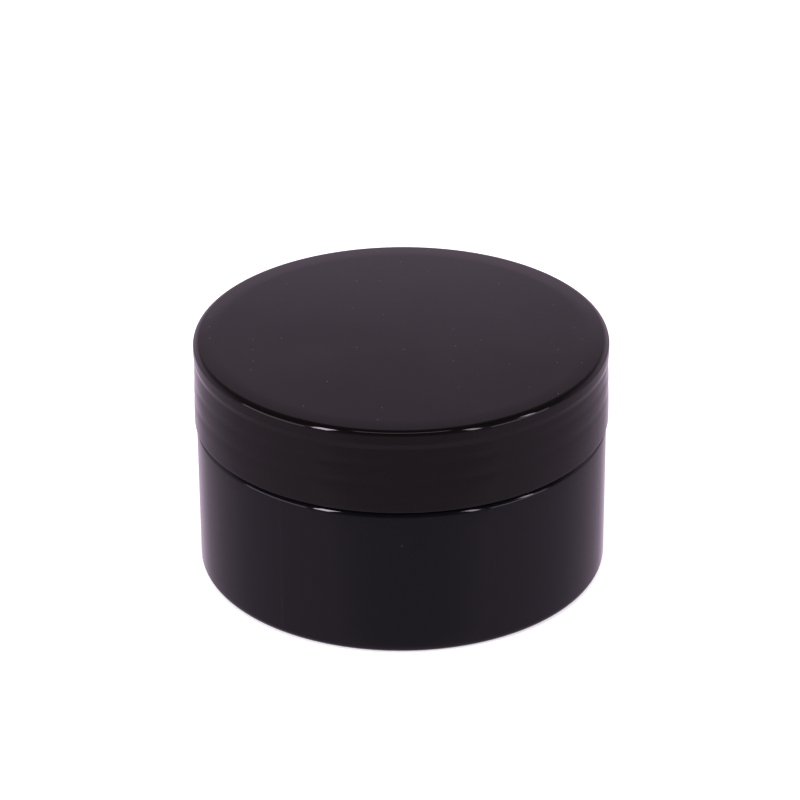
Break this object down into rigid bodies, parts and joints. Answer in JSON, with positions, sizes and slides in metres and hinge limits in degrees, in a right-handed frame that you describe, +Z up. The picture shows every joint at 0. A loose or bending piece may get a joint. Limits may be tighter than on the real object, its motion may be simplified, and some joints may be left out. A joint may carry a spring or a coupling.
{
  "type": "candle tin",
  "caption": "Round gloss black screw-top tin with a deep flat lid, a necked threaded body and a foam liner under the lid.",
  "frame": {"origin": "centre of the ring that the tin stands on", "axes": "+Z up along the tin's axis, towards the lid; +X is where the lid's thread ridge crosses 39.7 mm above the standing ring"},
  "size_m": [0.084, 0.084, 0.05],
  "materials": {
    "body_lacquer": "gloss",
    "lid_lacquer": "gloss",
    "liner_foam": "soft matte"
  },
  "bodies": {
    "can": {"tin_body": "body_lacquer"},
    "liner": {"lid_liner": "liner_foam"},
    "lid": {"lid_shell": "lid_lacquer"}
  },
  "joints": [
    {"name": "lid_lift", "type": "slide", "parent": "can", "child": "liner", "axis": [0, 0, 1], "range_m": [0, 0.0205]},
    {"name": "lid_turn", "type": "hinge", "parent": "liner", "child": "lid", "pos_m": [0, 0, 0.05], "axis": [0, 0, 1], "range_deg": [0, 1800]}
  ],
  "couplings": [
    {"joint": "lid_lift", "follows": "lid_turn", "m_per_rad": 0.00065253}
  ]
}
